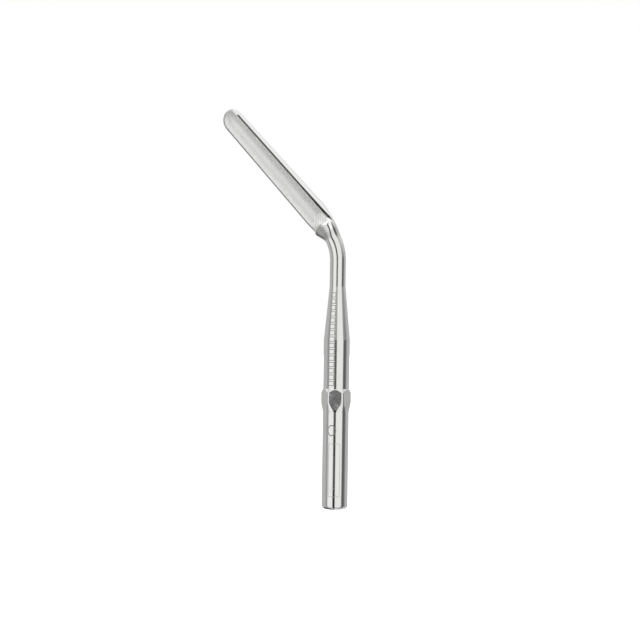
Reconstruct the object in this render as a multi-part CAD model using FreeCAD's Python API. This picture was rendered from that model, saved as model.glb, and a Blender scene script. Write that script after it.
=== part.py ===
import FreeCAD, Part
import math
import os

# Exchangeable elevator tip: half-round gouge blade, bent neck, turned shank with a hexagonal collar, and tang.
# Millimetres. The origin is the centre of the tang's end face, +Z runs up the shank, and the blade leans to -X.

# Shank, collar and tang, on the Z axis.
SHANK_DIAMETER = 6.0
TANG_LENGTH = 22.3
TANG_END_ROUND = 0.9
COLLAR_LEAD_LENGTH = 2.4
COLLAR_LAND_LENGTH = 2.1
COLLAR_CHAMFER_LENGTH = 0.9
COLLAR_RISE = 0.47
COLLAR_FLAT_RISE = 0.08
COLLAR_CORNER_RADIUS = 0.65
COLLAR_TURN = -4.0
SHANK_CYLINDER_LENGTH = 11.2
SHANK_TAPER_LENGTH = 12.3

# Neck rod: round, bent in the XZ plane.
NECK_DIAMETER = 3.67
NECK_STRAIGHT_LENGTH = 6.0
BEND_RADIUS = 11.5
BEND_ANGLE = 41.3
SEAM_ANGLE = 20.0

# Stem of the neck, inside the shank, and the spigot of the blade, inside the neck.
STEM_DIAMETER = 2.4
STEM_DEPTH_IN_TANG = 18.0
STEM_END_GAP = 0.3
SPIGOT_DIAMETER = 1.6
SPIGOT_LENGTH = 2.4
JOINT_CLEARANCE = 0.02

# Gouge blade. Stations are distances along its axis from the bend's outer corner towards the tip.
BLADE_TURN = 45.0
BLADE_TILT = 0.9
BLADE_LIFT = 0.15
BLADE_REACH = 39.65
TIP_RADIUS = 2.85
TIP_ROUND_LENGTH = 2.8
ROOT_RADIUS = 3.45
ROOT_STATION = 7.5
ROOT_FLARE_LENGTH = 5.1
RIM_LAND = 0.35
HOLLOW_AXIS_LIFT = 1.8
HOLLOW_STATION = 5.4
HOLLOW_END_LENGTH = 2.6
OPENING_STATION = 6.4
OPENING_RUNOUT_RADIUS = 2.2


Z_AXIS = FreeCAD.Vector(0, 0, 1)


def point(x, z):
    """Point in the XZ plane."""
    return FreeCAD.Vector(x, 0, z)


def turned(edges):
    """Solid turned about the Z axis from edges that close on it, in the XZ plane."""
    face = Part.Face(Part.Wire(edges))
    return face.revolve(FreeCAD.Vector(0, 0, 0), Z_AXIS, 360)


def polyline(points):
    """Straight edges through the points."""
    return [Part.LineSegment(start, end).toShape() for start, end in zip(points, points[1:])]


def closed_outline(points):
    """Straight edges through the points and back to the first."""
    return polyline(points + points[:1])


def bored(solid, radius, low, high):
    """The solid with a round hole on the Z axis from low to high."""
    tool = Part.makeCylinder(radius, high - low, FreeCAD.Vector(0, 0, low))
    return solid.cut(tool)


shank_radius = SHANK_DIAMETER / 2
neck_radius = NECK_DIAMETER / 2
stem_radius = STEM_DIAMETER / 2
bore_radius = stem_radius + JOINT_CLEARANCE
collar_low = TANG_LENGTH
collar_high = collar_low + COLLAR_LEAD_LENGTH + COLLAR_LAND_LENGTH + COLLAR_CHAMFER_LENGTH
taper_low = collar_high + SHANK_CYLINDER_LENGTH
shank_top = taper_low + SHANK_TAPER_LENGTH
bend_low = shank_top + NECK_STRAIGHT_LENGTH
stem_end = TANG_LENGTH - STEM_DEPTH_IN_TANG
bend_tangent = BEND_RADIUS * math.tan(math.radians(BEND_ANGLE) / 2)
bend_corner = point(0, bend_low + bend_tangent)
bend_centre = point(-BEND_RADIUS, bend_low)


def on_bend(angle):
    """Point on the neck's centre line, at an angle round the bend."""
    turn = math.radians(angle)
    return bend_centre + point(BEND_RADIUS * math.cos(turn), BEND_RADIUS * math.sin(turn))


def along_bend(angle):
    """Direction of the neck's centre line, at an angle round the bend."""
    turn = math.radians(angle)
    return point(-math.sin(turn), math.cos(turn))


def bend_stretch(radius, first, last):
    """Round rod along the bend from one angle to another."""
    ring = Part.Face(Part.Wire(Part.makeCircle(radius, on_bend(first), along_bend(first))))
    return ring.revolve(bend_centre, FreeCAD.Vector(0, -1, 0), last - first)


def tang():
    """Round tang with a rounded lower edge and a blind bore for the stem."""
    round_start = point(shank_radius - TANG_END_ROUND, 0)
    round_end = point(shank_radius, TANG_END_ROUND)
    round_middle = point(
        shank_radius - TANG_END_ROUND * (1 - math.sqrt(0.5)),
        TANG_END_ROUND * (1 - math.sqrt(0.5)),
    )
    edges = polyline([point(0, 0), round_start])
    edges += [Part.Arc(round_start, round_middle, round_end).toShape()]
    edges += polyline([round_end, point(shank_radius, TANG_LENGTH), point(0, TANG_LENGTH), point(0, 0)])
    return bored(turned(edges), bore_radius, stem_end - STEM_END_GAP, TANG_LENGTH)


def hex_collar():
    """Turned ring with six flats, turned a little on the shank; the flats stand just proud of it."""
    land_low = collar_low + COLLAR_LEAD_LENGTH
    land_high = land_low + COLLAR_LAND_LENGTH
    land_radius = shank_radius + COLLAR_RISE
    ring = turned(closed_outline([
        point(0, collar_low),
        point(shank_radius, collar_low),
        point(land_radius, land_low),
        point(land_radius, land_high),
        point(shank_radius, collar_high),
        point(0, collar_high),
    ]))
    flat_distance = shank_radius + COLLAR_FLAT_RISE
    corner_distance = flat_distance / math.cos(math.radians(30))
    directions = [math.radians(COLLAR_TURN + 60 * corner) for corner in range(6)]
    corners = [
        FreeCAD.Vector(corner_distance * math.cos(turn), corner_distance * math.sin(turn), collar_low)
        for turn in directions
    ]
    outline = Part.Face(Part.makePolygon(corners + corners[:1]))
    prism = outline.extrude(FreeCAD.Vector(0, 0, collar_high - collar_low))
    upright_edges = [edge for edge in prism.Edges if abs(edge.tangentAt(edge.FirstParameter).z) > 0.9]
    prism = prism.makeFillet(COLLAR_CORNER_RADIUS, upright_edges)
    return bored(ring.common(prism), bore_radius, collar_low, collar_high)


def taper_shank():
    """Cylinder above the collar and the cone that runs into the neck."""
    shank = turned(closed_outline([
        point(0, collar_high),
        point(shank_radius, collar_high),
        point(shank_radius, taper_low),
        point(neck_radius, shank_top),
        point(0, shank_top),
    ]))
    return bored(shank, bore_radius, collar_high, shank_top)


def spigot(clearance):
    """Straight pin on the blade's stub, along the neck at the seam."""
    return Part.makeCylinder(
        SPIGOT_DIAMETER / 2 + clearance,
        SPIGOT_LENGTH + clearance,
        on_bend(SEAM_ANGLE),
        along_bend(SEAM_ANGLE) * -1,
    )


def bent_neck():
    """Stem, straight neck and the lower part of the bend, with a socket for the blade."""
    stem = Part.makeCylinder(stem_radius, shank_top - stem_end, point(0, stem_end))
    straight = Part.makeCylinder(neck_radius, NECK_STRAIGHT_LENGTH, point(0, shank_top))
    bend = bend_stretch(neck_radius, 0, SEAM_ANGLE)
    return stem.fuse([straight, bend]).cut(spigot(JOINT_CLEARANCE))


def blade_frame():
    """Placement at the bend's corner that puts Z along the gouge and X out of its hollow."""
    lean = FreeCAD.Rotation(FreeCAD.Vector(0, -1, 0), BEND_ANGLE)
    turn = FreeCAD.Rotation(Z_AXIS, 180 + BLADE_TURN)
    tilt = FreeCAD.Rotation(FreeCAD.Vector(0, 1, 0), BLADE_TILT)
    direction = lean.multiply(turn)
    lift = direction.multVec(FreeCAD.Vector(BLADE_LIFT, 0, 0))
    return FreeCAD.Placement(bend_corner + lift, direction.multiply(tilt))


def taper_radius(station):
    """Outside radius of the gouge's long taper."""
    share = (station - ROOT_STATION) / (BLADE_REACH - TIP_ROUND_LENGTH - ROOT_STATION)
    return ROOT_RADIUS + share * (TIP_RADIUS - ROOT_RADIUS)


def quarter_round(side, end):
    """Quarter of an ellipse from a point beside the Z axis to a point on it."""
    curve = Part.BezierCurve()
    curve.setPoles([side, point(side.x, end.z), end])
    curve.setWeight(2, math.sqrt(0.5))
    return curve.toShape()


def gouge_outside():
    """Outside of the gouge: round tip, long taper, and a root that closes on the neck."""
    flare_low = ROOT_STATION - ROOT_FLARE_LENGTH
    flare_drop = ROOT_RADIUS - neck_radius * 0.9
    flare_radius = (ROOT_FLARE_LENGTH ** 2 + flare_drop ** 2) / (2 * flare_drop)
    half_run = ROOT_FLARE_LENGTH / 2
    half_drop = flare_radius - math.sqrt(flare_radius ** 2 - half_run ** 2)
    low = point(ROOT_RADIUS - flare_drop, flare_low)
    middle = point(ROOT_RADIUS - half_drop, ROOT_STATION - half_run)
    root = point(ROOT_RADIUS, ROOT_STATION)
    tip_side = point(TIP_RADIUS, BLADE_REACH - TIP_ROUND_LENGTH)
    tip_end = point(0, BLADE_REACH)
    edges = polyline([point(0, flare_low), low])
    edges += [Part.Arc(low, middle, root).toShape()]
    edges += polyline([root, tip_side])
    edges += [quarter_round(tip_side, tip_end)]
    edges += polyline([tip_end, point(0, flare_low)])
    return turned(edges)


def hollow_tool():
    """Round-ended cutter; its axis stands in front of the rims, so the hollow is shallower than it is wide."""
    root_station = HOLLOW_STATION + HOLLOW_END_LENGTH
    tip_station = BLADE_REACH - TIP_ROUND_LENGTH
    tip_half = TIP_RADIUS - RIM_LAND
    root_side = point(math.hypot(taper_radius(root_station) - RIM_LAND, HOLLOW_AXIS_LIFT), root_station)
    tip_side = point(math.hypot(tip_half, HOLLOW_AXIS_LIFT), tip_station)
    low_end = point(0, HOLLOW_STATION)
    high_end = point(0, tip_station + (TIP_ROUND_LENGTH - RIM_LAND) * tip_side.x / tip_half)
    edges = [quarter_round(root_side, low_end).reversed()]
    edges += polyline([root_side, tip_side])
    edges += [quarter_round(tip_side, high_end)]
    edges += polyline([high_end, low_end])
    tool = turned(edges)
    tool.translate(FreeCAD.Vector(HOLLOW_AXIS_LIFT, 0, 0))
    return tool


def opening_tool():
    """Everything in front of the rims, with a round run-out over the neck."""
    start = point(0, OPENING_STATION)
    reach = OPENING_RUNOUT_RADIUS
    middle = point(reach * (1 - math.sqrt(0.5)), OPENING_STATION - reach * math.sqrt(0.5))
    end = point(reach, OPENING_STATION - reach)
    far = ROOT_RADIUS * 2
    top = BLADE_REACH + far
    edges = polyline([point(0, top), start])
    edges += [Part.Arc(start, middle, end).toShape()]
    edges += polyline([end, point(far, OPENING_STATION - reach), point(far, top), point(0, top)])
    face = Part.Face(Part.Wire(edges))
    face.translate(FreeCAD.Vector(0, -far, 0))
    return face.extrude(FreeCAD.Vector(0, 2 * far, 0))


def gouge_blade():
    """Half-round gouge on a short round stub, with the spigot that holds it in the neck."""
    frame = blade_frame()
    outside = gouge_outside()
    tools = [hollow_tool(), opening_tool()]
    for shape in [outside] + tools:
        shape.Placement = frame.multiply(shape.Placement)
    bend = bend_stretch(neck_radius, SEAM_ANGLE, BEND_ANGLE)
    stub = Part.makeCylinder(neck_radius, ROOT_STATION - bend_tangent, on_bend(BEND_ANGLE), along_bend(BEND_ANGLE))
    return outside.fuse([bend, stub]).cut(tools).fuse(spigot(0))


def main():
    """Writes each piece as its own STEP file."""
    os.makedirs("parts", exist_ok=True)
    makers = [tang, hex_collar, taper_shank, bent_neck, gouge_blade]
    for maker in makers:
        piece = maker()
        print(maker.__name__, piece.isValid(), len(piece.Solids), round(piece.Volume, 2), piece.BoundBox)
        piece.exportStep("parts/" + maker.__name__ + ".step")


main()
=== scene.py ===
import math

import bmesh
import bpy
from mathutils import Matrix, Vector


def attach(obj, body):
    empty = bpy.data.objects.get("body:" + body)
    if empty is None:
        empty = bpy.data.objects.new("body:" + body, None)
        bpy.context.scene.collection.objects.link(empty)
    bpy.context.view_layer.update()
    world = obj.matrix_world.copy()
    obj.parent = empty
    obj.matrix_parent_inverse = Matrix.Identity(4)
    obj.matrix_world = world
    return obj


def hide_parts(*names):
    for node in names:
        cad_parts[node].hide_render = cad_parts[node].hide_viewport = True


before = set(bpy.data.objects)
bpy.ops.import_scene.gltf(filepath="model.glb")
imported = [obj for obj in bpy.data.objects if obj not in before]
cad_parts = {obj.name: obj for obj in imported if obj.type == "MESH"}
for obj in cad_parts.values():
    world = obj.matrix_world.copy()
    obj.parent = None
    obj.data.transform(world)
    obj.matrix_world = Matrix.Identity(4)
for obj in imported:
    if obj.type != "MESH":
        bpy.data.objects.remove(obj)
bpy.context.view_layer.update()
millimetre = 0.001

# Camera. A long lens looks level along +Y at the middle of the standing tip,
# and is rolled a little so that the shank leans to the right.
camera_data = bpy.data.cameras.new("camera")
camera_data.lens = 85
camera_data.sensor_width = 36
camera_data.clip_start = 0.01
camera = bpy.data.objects.new("camera", camera_data)
bpy.context.scene.collection.objects.link(camera)
bpy.context.scene.camera = camera
aim = Vector((-3.95, 0, 43.6)) * millimetre
reach = 348.8 * millimetre
level = Matrix.Rotation(math.radians(90), 4, "X")
roll = Matrix.Rotation(math.radians(0.82), 4, "Z")
camera.matrix_world = Matrix.Translation(aim - Vector((0, reach, 0))) @ level @ roll


# Studio. A pale tent: two tall white panels in front, a dark gap at the lens between them, a dark card
# on the right, and a grey surround, brighter high up and low down, with a dim corner low at the back left.
class Shade:
    """A socket of a node tree. Arithmetic on it adds Math nodes to the tree."""

    def __init__(self, tree, socket=None):
        self.tree = tree
        self.socket = socket

    def node(self, kind, settings=None, values=None, output=0):
        """Adds a node: its settings first, then the values or links of its sockets."""
        made = self.tree.nodes.new(kind)
        for name, setting in (settings or {}).items():
            setattr(made, name, setting)
        for name, value in (values or {}).items():
            if isinstance(value, Shade):
                self.tree.links.new(value.socket, made.inputs[name])
            else:
                made.inputs[name].default_value = value
        return Shade(self.tree, made.outputs[output] if made.outputs else None)

    def math(self, operation, *others):
        """Math node on this value and the others."""
        values = dict(enumerate((self, *others)))
        return self.node("ShaderNodeMath", {"operation": operation}, values)

    def vector(self, operation, *others, output=0):
        """Vector Math node on this vector and the others."""
        values = dict(enumerate((self, *others)))
        return self.node("ShaderNodeVectorMath", {"operation": operation}, values, output)

    def __add__(self, other):
        return self.math("ADD", other)

    def __radd__(self, other):
        return self.math("ADD", other)

    def __sub__(self, other):
        return self.math("SUBTRACT", other)

    def __rsub__(self, other):
        return self.math("MULTIPLY_ADD", -1, other)

    def __mul__(self, other):
        return self.math("MULTIPLY", other)

    def __rmul__(self, other):
        return self.math("MULTIPLY", other)

    def __truediv__(self, other):
        return self.math("DIVIDE", other)

    def axes(self):
        """The three numbers of this vector."""
        first = self.node("ShaderNodeSeparateXYZ", values={0: self})
        return [Shade(self.tree, output) for output in first.socket.node.outputs]

    def step(self, low, high):
        """0 below low, 1 above high, smooth between; low may be the larger."""
        ends = {"From Min": min(low, high), "From Max": max(low, high)}
        turned = {"To Min": 0 if low < high else 1, "To Max": 1 if low < high else 0}
        values = {"Value": self, **ends, **turned}
        return self.node("ShaderNodeMapRange", {"interpolation_type": "SMOOTHSTEP"}, values)

    def band(self, low, high, soft):
        """1 between low and high, falling to 0 over soft at each end."""
        return self.step(low - soft / 2, low + soft / 2) * self.step(high + soft / 2, high - soft / 2)


def studio():
    """World shader: white to the camera, and the tent to every reflection."""
    world = bpy.data.worlds.new("studio")
    bpy.context.scene.world = world
    world.use_nodes = True
    world.node_tree.nodes.clear()
    start = Shade(world.node_tree)
    right, deep, up = start.node("ShaderNodeTexCoord").axes()
    azimuth = right.math("ARCTAN2", deep * -1) * (180 / math.pi)
    elevation = up.math("ARCSINE") * (180 / math.pi)
    left_panel = azimuth.band(-66, -20, 8)
    right_panel = azimuth.band(1, 58, 7)
    under_panels = elevation.step(-25, -33)
    surround = 0.68 + elevation.step(6, 40) * 0.64 - under_panels * 0.2 + elevation.step(-20, -36) * 0.42
    dim_corner = azimuth.step(-40, -140) * elevation.step(-22, -36)
    gap = azimuth.band(-21, 2, 3) * (0.25 + elevation.step(12, 3) * 0.5 + elevation.step(-2, -6) * 0.2)
    card = azimuth.step(58, 66) * azimuth.step(112, 82) * (0.25 + elevation.step(12, 3) * 0.5)
    edge_card = azimuth.band(-90, -70, 8) * 0.3
    level = surround * (1 - 0.9 * dim_corner) * (1 - gap) * (1 - card) * (1 - edge_card)
    panels = left_panel * 1.27 + right_panel * 1.22
    light = level + (panels - (left_panel + right_panel) * level) * (1 - under_panels)
    lit = start.node("ShaderNodeBackground", values={"Strength": light})
    white = start.node("ShaderNodeBackground", values={"Color": (1, 1, 1, 1), "Strength": 1.0})
    seen = start.node("ShaderNodeLightPath", output="Is Camera Ray")
    both = start.node("ShaderNodeMixShader", values={0: seen, 1: lit, 2: white})
    start.node("ShaderNodeOutputWorld", values={"Surface": both})


studio()
bpy.context.scene.view_settings.view_transform = "Standard"

# Floor. A plain pale board that glows a little, so that it reads as white paper;
# the steel doesn't mirror it.
floor_half = 1.5
corners = [(-floor_half, -floor_half, 0), (floor_half, -floor_half, 0), (floor_half, floor_half, 0)]
corners += [(-floor_half, floor_half, 0)]
floor_mesh = bpy.data.meshes.new("floor")
floor_mesh.from_pydata(corners, [], [(0, 1, 2, 3)])
floor = bpy.data.objects.new("floor", floor_mesh)
bpy.context.scene.collection.objects.link(floor)
floor.visible_glossy = False
floor_paint = bpy.data.materials.new("floor_paint")
floor_paint.use_nodes = True
floor_paint.node_tree.nodes.clear()
paint = Shade(floor_paint.node_tree)
glow = paint.node("ShaderNodeEmission", values={"Strength": 0.8})
matt = paint.node("ShaderNodeBsdfDiffuse", values={"Color": (0.8, 0.8, 0.8, 1)})
both = paint.node("ShaderNodeAddShader", values={0: glow, 1: matt})
paint.node("ShaderNodeOutputMaterial", values={0: both})
floor_mesh.materials.append(floor_paint)


# Tang. The plain round lower end that slides into a handle: stainless bar turned on a lathe,
# its edge rounded, bored from above for the neck's stem, polished and then laser marked.
shank_radius = 3.0
tang_length = 22.3
tang_end_round = 0.9
bore_radius = 1.22
bore_low = 4.0
around = 160


def turned(profile):
    """Rings of points round Z from (radius, height) pairs."""
    turns = [2 * math.pi * index / around for index in range(around)]
    return [
        [Vector((radius * math.cos(t), radius * math.sin(t), height)) for t in turns]
        for radius, height in profile
    ]


def arc(centre, radius, first, last, steps):
    """(radius, height) pairs round a centre, between two angles in degrees."""
    turns = [math.radians(first + (last - first) * index / steps) for index in range(steps + 1)]
    return [(centre[0] + radius * math.cos(t), centre[1] + radius * math.sin(t)) for t in turns]


def held(profile, hold=0.06):
    """The profile with a point close to both ends of each long run, which keeps its shading true."""
    points = [profile[0]]
    for start, end in zip(profile, profile[1:]):
        run = math.dist(start, end)
        if run > 4 * hold:
            for share in (hold / run, 1 - hold / run):
                points.append(tuple(low + (high - low) * share for low, high in zip(start, end)))
        points.append(end)
    return points


def skinned(name, rings, paints, replaced, inside=None):
    """Closed mesh over rings of points in millimetres; inside(ring, place) picks the second material."""
    mesh = bpy.data.meshes.new(name)
    count = len(rings[0])
    points = [point * millimetre for ring in rings for point in ring]
    faces = []
    picks = []
    for ring in range(len(rings) - 1):
        for place in range(count):
            beside = (place + 1) % count
            corner = [ring * count + place, ring * count + beside]
            faces.append(corner + [index + count for index in reversed(corner)])
            picks.append(1 if inside and inside(ring, place) else 0)
    mesh.from_pydata(points, [], faces)
    mesh.polygons.foreach_set("material_index", picks)
    work = bmesh.new()
    work.from_mesh(mesh)
    bmesh.ops.remove_doubles(work, verts=work.verts, dist=1e-7)
    bmesh.ops.recalc_face_normals(work, faces=work.faces)
    work.to_mesh(mesh)
    work.free()
    for paint in paints:
        mesh.materials.append(paint)
    mesh.polygons.foreach_set("use_smooth", [True] * len(mesh.polygons))
    mesh.set_sharp_from_angle(angle=math.radians(24))
    made = bpy.data.objects.new(name, mesh)
    bpy.context.scene.collection.objects.link(made)
    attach(made, "root")
    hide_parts(replaced)
    return made


def new_paint(name):
    """An empty node material and the start of its tree."""
    made = bpy.data.materials.new(name)
    made.use_nodes = True
    made.node_tree.nodes.clear()
    return made, Shade(made.node_tree)


def steel(start, place, roughness, lines, bump, tone, mark=None):
    """Steel finish: place runs along the polishing lines, in millimetres over its Z."""
    along_lines = place.vector("MULTIPLY", lines)
    along_hairs = place.vector("MULTIPLY", (1.9, 1.9, 0.22))
    streaks = start.node("ShaderNodeTexNoise", values={"Vector": along_lines, "Scale": 1.0, "Detail": 4.0})
    smudges = start.node("ShaderNodeTexNoise", values={"Vector": place, "Scale": 0.42, "Detail": 3.0})
    hairs = start.node("ShaderNodeTexNoise", values={"Vector": along_hairs, "Scale": 1.0, "Detail": 1.0})
    scratch = (hairs - 0.5).math("ABSOLUTE").step(0.006, 0.001) * smudges.step(0.5, 0.62)
    rough = roughness + (streaks - 0.5) * 0.05 + smudges.step(0.42, 0.75) * 0.035 + scratch * 0.1
    shine = tone - smudges.step(0.5, 0.8) * 0.03 - scratch * 0.08
    height = streaks - scratch * 0.6
    if mark:
        rough = rough * (1 - mark) + mark * 0.42
        shine = shine * (1 - mark) + mark * 0.3
        height = height - mark * 6
    colour = start.node("ShaderNodeMix", {"data_type": "RGBA"}, {
        "Factor": shine, 6: (0, 0, 0, 1), 7: (1.0, 0.997, 0.99, 1)}, output=2)
    normal = start.node("ShaderNodeBump", values={"Strength": 1.0, "Distance": bump, "Height": height})
    shader = start.node("ShaderNodeBsdfPrincipled", values={
        "Base Color": colour, "Metallic": 1.0, "Roughness": rough, "Normal": normal})
    start.node("ShaderNodeOutputMaterial", values={0: shader})


def in_millimetres(start):
    """The point of the object's surface, in millimetres."""
    return start.node("ShaderNodeTexCoord", output="Object").vector("MULTIPLY", (1000, 1000, 1000))


def unrolled(start, radius):
    """Distance round the bar from its front, to the right, and height, in millimetres."""
    right, deep, height = in_millimetres(start).axes()
    return right.math("ARCTAN2", deep * -1) * radius, height


def tang_finish():
    """Polished steel with a plain ring and an empty label frame, etched by laser."""
    made, start = new_paint("polished_tang")
    across, height = unrolled(start, shank_radius)
    from_ring = start.node("ShaderNodeCombineXYZ", values={0: across + 0.95, 1: (height - 18.2) * 0.8})
    ring_far = from_ring.vector("LENGTH", output=1)
    ring = ring_far.band(0.82, 1.02, 0.06)
    outer = across.band(-1.65, 1.1, 0.04) * height.band(3.0, 15.2, 0.04)
    inner = across.band(-1.55, 1.0, 0.04) * height.band(3.1, 15.1, 0.04)
    dashes = across.band(-0.5, -0.15, 0.04) * height.band(4.6, 12.4, 0.04)
    dashes = dashes * (height * 2.1).math("FRACT").band(0.3, 0.7, 0.1)
    mark = (ring + (outer - inner) * 0.7 + dashes * 0.5).math("MINIMUM", 1.0)
    steel(start, in_millimetres(start), 0.1, (0.35, 0.35, 9.0), 8e-7, 0.8, mark)
    return made


end_round = arc((shank_radius - tang_end_round, tang_end_round), tang_end_round, -90, 0, 16)
tang_profile = [(0, 0)] + end_round + [(shank_radius, tang_length), (bore_radius, tang_length)]
tang_profile += [(bore_radius, bore_low), (0, bore_low)]
skinned("tang_turned", turned(held(tang_profile)), [tang_finish()], "tang")


# Hexagonal collar. A turned swelling of the same bar with six flats ground across it, which seat
# in the mouth of the handle and stop the tip turning. The flats keep the grinding wheel's marks.
collar_high = 27.7
land_low = 24.7
land_high = 26.8
land_radius = 3.47
flat_distance = 3.08
corner_round = 0.65
collar_turn = -4.0
edge_blend = 0.09


def swell(height):
    """Radius of the turned ring at a height."""
    rise = (height - tang_length) / (land_low - tang_length)
    fall = (collar_high - height) / (collar_high - land_high)
    return shank_radius + (land_radius - shank_radius) * min(rise, fall, 1)


def hexagon(angle):
    """Distance of the rounded hexagon from the axis, at an angle round it."""
    off = math.radians((math.degrees(angle) - collar_turn + 30) % 60 - 30)
    inner = (flat_distance - corner_round) / math.cos(math.radians(30))
    if math.tan(abs(off)) < inner * math.sin(math.radians(30)) / flat_distance:
        return flat_distance / math.cos(off)
    lean = math.radians(30) - abs(off)
    return inner * math.cos(lean) + math.sqrt(corner_round ** 2 - (inner * math.sin(lean)) ** 2)


def softer(first, second):
    """The smaller of two radii, with the edge between them rounded."""
    mix = max(edge_blend - abs(first - second), 0) / edge_blend
    return min(first, second) - mix * mix * edge_blend / 4


def collar_rings():
    """Rings up the collar from the bore, and back down inside it."""
    steps = 90
    turns = [2 * math.pi * index / (3 * around) for index in range(3 * around)]
    rings = []
    for index in range(steps + 1):
        height = tang_length + (collar_high - tang_length) * index / steps
        radii = [softer(swell(height), hexagon(turn - math.pi / 2)) for turn in turns]
        rings.append([Vector((r * math.cos(t), r * math.sin(t), height)) for r, t in zip(radii, turns)])
    bore = [[Vector((bore_radius * math.cos(t), bore_radius * math.sin(t), height)) for t in turns]
            for height in (tang_length, collar_high)]
    return [bore[0]] + rings + [bore[1], bore[0]]


def ground_finish():
    """Ground steel: strokes of the wheel slant across each flat."""
    made, start = new_paint("ground_flat")
    place = in_millimetres(start)
    slant = (0, math.radians(58), 0)
    slanted = start.node("ShaderNodeMapping", values={"Vector": place, "Rotation": slant})
    steel(start, slanted, 0.2, (0.6, 0.6, 3.2), 3e-5, 0.76)
    return made


def collar_finish():
    """Polished steel of the collar's cones and corners."""
    made, start = new_paint("polished_collar")
    steel(start, in_millimetres(start), 0.12, (0.35, 0.35, 9.0), 8e-7, 0.8)
    return made


collar = collar_rings()


def on_flat(ring, place):
    """True where the collar's skin is a ground flat and not the turned ring."""
    point = collar[ring][place]
    radius = math.hypot(point.x, point.y)
    off = (math.degrees(math.atan2(point.y, point.x)) + 90 - collar_turn + 30) % 60 - 30
    return abs(radius * math.cos(math.radians(off)) - flat_distance) < 0.012 and radius > bore_radius + 0.1


collar_paints = [collar_finish(), ground_finish()]
skinned("hex_collar_ground", collar, collar_paints, "hex_collar", on_flat)


# Taper shank. The cylinder above the collar and the long cone that runs into the neck,
# turned in one with the bar and polished; a row of plain squares is etched left of its front.
taper_low = 38.9
shank_top = 51.2
neck_radius = 1.835


def shank_finish():
    """Polished steel with a row of plain open squares, etched by laser."""
    made, start = new_paint("polished_shank")
    across, height = unrolled(start, shank_radius)
    pitch = 1.45
    along = ((height - 28.3) / pitch).math("FRACT")
    outer = across.band(-2.1, -0.5, 0.05) * along.band(0.08, 0.88, 0.04)
    inner = across.band(-1.93, -0.67, 0.05) * along.band(0.2, 0.76, 0.04)
    mark = (outer - inner) * height.band(28.3, 50.05, 0.05)
    steel(start, in_millimetres(start), 0.1, (0.35, 0.35, 9.0), 8e-7, 0.8, mark * 0.85)
    return made


shank_profile = [(bore_radius, collar_high), (shank_radius, collar_high), (shank_radius, taper_low)]
shank_profile += [(neck_radius, shank_top), (bore_radius, shank_top), (bore_radius, collar_high)]
shank_rings = turned(held(shank_profile))
skinned("taper_shank_turned", shank_rings, [shank_finish()], "taper_shank")


# Bent neck. Round bar, straight and then bent back; its stem runs down through the shank into
# the tang and is pressed there, and its end holds the blade's spigot.
stem_radius = 1.2
stem_low = 4.3
bend_low = 57.2
bend_radius = 11.5
bend_angle = math.radians(41.3)
seam_angle = math.radians(20.0)
spigot_radius = 0.8
spigot_length = 2.4
joint_clearance = 0.02
opening_turn = math.radians(45)
bend_centre = Vector((-bend_radius, 0, bend_low))
bend_run = bend_radius * bend_angle
seam_run = bend_radius * seam_angle
turn_about_bar = Matrix.Rotation(math.pi + opening_turn, 3, "Z")


def along_bar(run):
    """Centre, hollow side, cross and forward directions of the bar, at a run from its bend's start."""
    angle = min(max(run / bend_radius, 0), bend_angle)
    lean = Matrix.Rotation(-angle, 3, "Y")
    hollow_side, cross, forward = (lean @ turn_about_bar).col
    centre = bend_centre + lean @ Vector((bend_radius, 0, 0))
    return centre + forward * (run - angle * bend_radius), hollow_side, cross, forward


def bar_ring(run, radius, back=0):
    """Round ring on the bar, moved back along its direction there."""
    centre, hollow_side, cross, forward = along_bar(run)
    start = centre - forward * back
    turns = [2 * math.pi * index / around for index in range(around)]
    return [start + (hollow_side * math.cos(t) + cross * math.sin(t)) * radius for t in turns]


def neck_finish():
    """Polished steel, with its lines along the bar."""
    made, start = new_paint("polished_neck")
    steel(start, in_millimetres(start), 0.1, (6.0, 6.0, 0.6), 8e-7, 0.8)
    return made


def neck_rings():
    """Rings from the foot of the stem to the seam, and back into the socket."""
    top = shank_top - bend_low
    foot = stem_low - bend_low
    hold = 0.06
    rings = [bar_ring(foot, radius) for radius in (0, stem_radius)]
    rings += [bar_ring(run, stem_radius) for run in (foot + hold, top - hold, top)]
    rings += [bar_ring(top, neck_radius), bar_ring(top + hold, neck_radius), bar_ring(-hold, neck_radius)]
    steps = 28
    rings += [bar_ring(seam_run * index / steps, neck_radius) for index in range(steps + 1)]
    socket = spigot_radius + joint_clearance
    rings += [bar_ring(seam_run, socket), bar_ring(seam_run, socket, spigot_length + joint_clearance)]
    rings += [bar_ring(seam_run, 0, spigot_length + joint_clearance)]
    return rings


skinned("bent_neck_bar", neck_rings(), [neck_finish()], "bent_neck")


# Gouge blade. A half-round gouge forged on the end of the bar: its hollow is ground to a satin,
# the rims are bevelled, and the outside is polished into the neck. A spigot pins it to the neck.
blade_reach = 39.55
blade_tilt = math.radians(1.2)
tip_lift = 0.23
root_lift = 0.38
tip_radius = 2.85
tip_round = 2.8
tip_dip = 0.5
root_half = 3.3
root_depth = 3.8
shoulder_half = 3.3
shoulder_front = 1.68
shoulder_fullness = 2.8
run_out = 1.2
taper_station = 7.5
hollow_depth = 1.55
outer_steps = 96
inner_steps = 80
polished_rings = 20
corner_station = bend_radius * math.tan(bend_angle / 2)


def smooth(value, low, high):
    """0 below low, 1 above high, smooth between."""
    share = min(max((value - low) / (high - low), 0), 1)
    return share * share * (3 - 2 * share)


def mixed(first, second, share):
    """Value between two others."""
    return first + (second - first) * share


def taper_share(station):
    """0 at the root of the long taper, 1 at the start of the tip."""
    return max((station - taper_station) / (blade_reach - tip_round - taper_station), 0)


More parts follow.
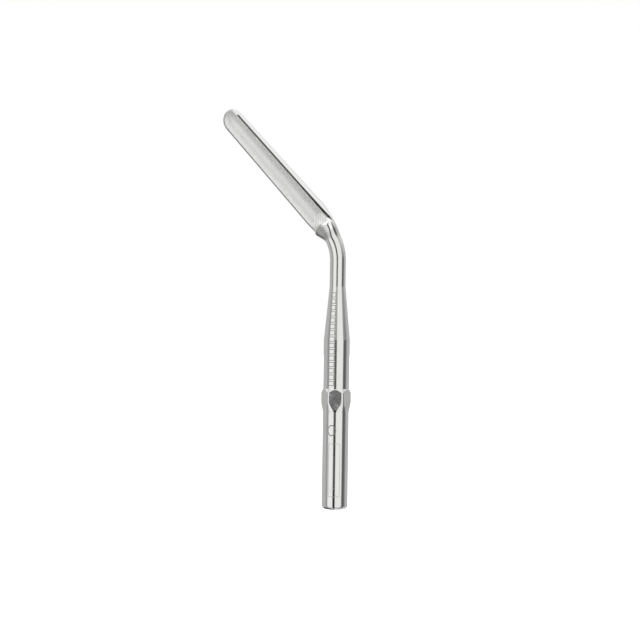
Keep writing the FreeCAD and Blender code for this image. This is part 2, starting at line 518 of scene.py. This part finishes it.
def section(station):
    """Half-width and depth behind the rims, at a station."""
    taper = taper_share(station)
    shoulder = mixed(shoulder_half, mixed(root_half, tip_radius, taper), smooth(station, 5.6, 8.2))
    half = mixed(neck_radius, shoulder, smooth(station, 0.8, 5.6))
    depth = mixed(neck_radius, mixed(root_depth, tip_radius, taper), smooth(station, 3.8, 9.0))
    return half, depth


def front_height(station, share, half):
    """Height of the front over the rims: a full shoulder, then the hollow; share is -1 to 1 across."""
    crest = mixed(neck_radius, shoulder_front, smooth(station, 2.0, 6.0))
    rise = mixed(crest, -hollow_depth, smooth(station + run_out * share ** 2, 5.5, 8.0))
    fullness = mixed(2, shoulder_fullness, smooth(station, 1.0, 3.6))
    if rise > 0:
        return rise * (1 - abs(share) ** fullness) ** (1 / fullness)
    radius = (half ** 2 + rise ** 2) / (2 * max(-rise, 1e-6))
    return radius + rise - math.sqrt(radius ** 2 - (half * share) ** 2)


def rim(station, side):
    """Land, bevel and bevel's drop of the rim on one side (1 right, -1 left), at a station."""
    if side > 0:
        full = mixed(1.0, 1.4, smooth(-station, -16, -7))
        land, bevel, drop = 0.03, 0.3 * full, 0.24 * full
    else:
        land, bevel, drop = 0.4, 0.12, 0.1
    thin = smooth(station, 4.4, 5.8)
    return [max(size * thin, 0.012) for size in (land, bevel, drop)]


def gouge_ring(station, tip_turn=0):
    """Ring of (hollow side, cross, station) points; tip_turn goes from 0 to a right angle round the tip."""
    half, depth = section(station)
    wide, far = math.cos(tip_turn), math.sin(tip_turn)
    tip_rim = (0.1, 0.12, 0.1)
    kept = {1: wide ** 0.3, -1: wide}
    rims = {}
    for side, share in kept.items():
        rims[side] = [mixed(end, size, share) for end, size in zip(tip_rim, rim(station, side))]
    blunt = wide ** 0.56
    plan = {1: wide ** 0.8, -1: wide}

    def at(cross, height, inset):
        return height - tip_dip * far * far, cross, station + (tip_round - inset) * far

    ring = []
    for index in range(outer_steps + 1):
        turn = math.pi * index / outer_steps
        side = 1 if index < outer_steps / 2 else -1
        drop = rims[side][2]
        height = -drop - (depth - drop) * blunt * math.sin(turn)
        ring.append(at(half * plan[side] * math.cos(turn), height, 0))
    left_bevel = rims[-1][1]
    ring.append(at(-(half - left_bevel) * plan[-1], 0, left_bevel))
    for index in range(inner_steps + 1):
        share = math.sin(math.pi * (index / inner_steps - 0.5))
        side = 1 if share > 0 else -1
        inset = sum(rims[side][:2])
        height = front_height(station, share, half - inset) * wide
        ring.append(at((half - inset) * plan[side] * share, height, inset))
    right_bevel = rims[1][1]
    ring.append(at((half - right_bevel) * plan[1], 0, right_bevel))
    return ring


def placed(ring):
    """The ring's points on the bar: the gouge leans to its hollow side, a little more with each station."""
    points = []
    for height, across_bar, station in ring:
        centre, hollow_side, cross, _ = along_bar(bend_run + station - corner_station)
        lift = math.tan(blade_tilt) * station * smooth(station, 1.5, 8)
        lift += mixed(root_lift, tip_lift, taper_share(station)) * smooth(station, 1.5, 8)
        points.append(centre + hollow_side * (height + lift) + cross * across_bar)
    return points


def blade_rings():
    """Rings from the end of the spigot to the tip."""
    seam_station = corner_station - (bend_run - seam_run)
    root_steps = 54
    taper_steps = 30
    tip_steps = 26
    root_end = 9.6
    tip_start = blade_reach - tip_round
    stations = [mixed(seam_station, root_end, index / root_steps) for index in range(root_steps + 1)]
    stations += [mixed(root_end, tip_start, index / taper_steps) for index in range(1, taper_steps)]
    rings = [placed(gouge_ring(station)) for station in stations]
    tip_turns = [math.pi / 2 * (1 - (1 - index / tip_steps) ** 1.6) for index in range(tip_steps + 1)]
    rings += [placed(gouge_ring(tip_start, turn)) for turn in tip_turns]
    centre, _, _, forward = along_bar(seam_run)
    spoke = [(point - centre).normalized() * spigot_radius for point in rings[0]]
    near = [centre + arm for arm in spoke]
    deep = [centre - forward * spigot_length + arm for arm in spoke]
    pole = [centre - forward * spigot_length for arm in spoke]
    return [pole, deep, near] + rings


def outside_finish():
    """Polished steel of the gouge's back and rims, with lines along the blade."""
    made, start = new_paint("polished_blade")
    place = in_millimetres(start)
    along = start.node("ShaderNodeMapping", {}, {"Vector": place, "Rotation": (0, bend_angle, 0)})
    steel(start, along, 0.1, (6.0, 6.0, 0.6), 8e-7, 0.8)
    return made


def hollow_finish():
    """Satin steel of the hollow, ground lengthwise, that fades to polish over the root; its colour is
    painted lighter than the other steel, a painted highlight.
    """
    made, start = new_paint("satin_hollow")
    place = in_millimetres(start)
    along = start.node("ShaderNodeMapping", {}, {"Vector": place, "Rotation": (0, bend_angle, 0)})
    centre, _, _, forward = along_bar(bend_run)
    from_bend = place.vector("SUBTRACT", tuple(centre))
    station = from_bend.vector("DOT_PRODUCT", tuple(forward), output=1) + corner_station
    satin = station.step(5.2, 6.4)
    # Painted highlight: the hollow's steel gets tone 1.0 against 0.8 on the rest of the gouge, which
    # brightens the whole hollow.
    steel(start, along, 0.1 + satin * 0.42, (3.0, 3.0, 0.12), 4e-7, 1.0)
    return made


def in_hollow(ring, place):
    """True on the faces between the rims' inner edges, above the root."""
    left_edge = outer_steps + 2
    return ring > polished_rings and left_edge <= place < left_edge + inner_steps


blade_paints = [outside_finish(), hollow_finish()]
skinned("gouge_blade_forged", blade_rings(), blade_paints, "gouge_blade", in_hollow)
